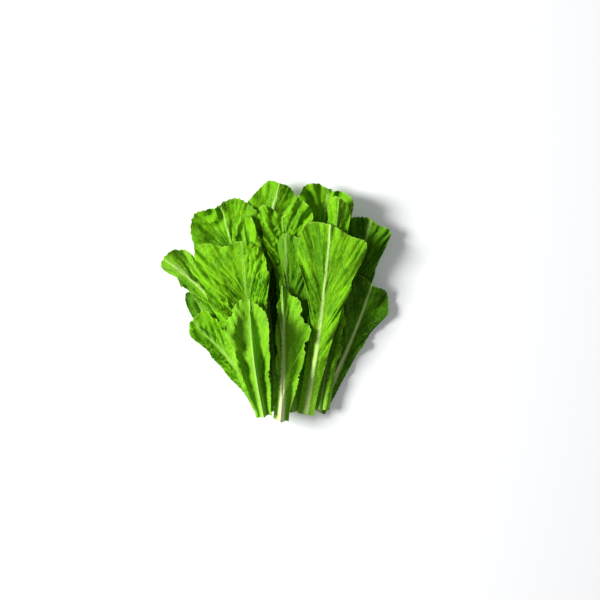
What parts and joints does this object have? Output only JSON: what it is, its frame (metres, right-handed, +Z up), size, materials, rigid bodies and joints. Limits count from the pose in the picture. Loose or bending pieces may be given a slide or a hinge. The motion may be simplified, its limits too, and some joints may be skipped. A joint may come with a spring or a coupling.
{
  "type": "mustard greens bunch",
  "caption": "Loose bunch of leaf mustard lying on its side, with broad ruffled blades on pale ribbed stalks that fan out from the cut ends.",
  "frame": {"origin": "on the surface that the bunch lies on, under the middle of its outline", "axes": "+Y from the cut stalk ends towards the leaf tips, +Z up from the surface, +X to the right seen from above"},
  "size_m": [0.2829, 0.2972, 0.0655],
  "materials": {
    "fresh_leaf": "satin",
    "mature_leaf": "satin"
  },
  "bodies": {
    "root": {"under_centre_leaf": "mature_leaf", "under_left_leaf": "mature_leaf", "under_right_leaf": "mature_leaf", "deep_centre_leaf": "mature_leaf", "back_centre_leaf": "fresh_leaf", "left_outer_leaf": "mature_leaf", "right_upper_leaf": "mature_leaf", "upper_left_leaf": "fresh_leaf", "upper_right_leaf": "fresh_leaf", "right_lower_leaf": "mature_leaf", "right_inner_leaf": "fresh_leaf", "upper_right_folded_leaf": "fresh_leaf", "centre_top_leaf": "fresh_leaf", "upper_left_inner_leaf": "fresh_leaf", "left_tip_leaf": "fresh_leaf", "left_lower_leaf": "fresh_leaf", "centre_leaf": "mature_leaf", "front_left_leaf": "fresh_leaf", "front_right_leaf": "fresh_leaf", "front_left_folded_leaf": "fresh_leaf", "front_centre_leaf": "fresh_leaf"}
  },
  "joints": []
}
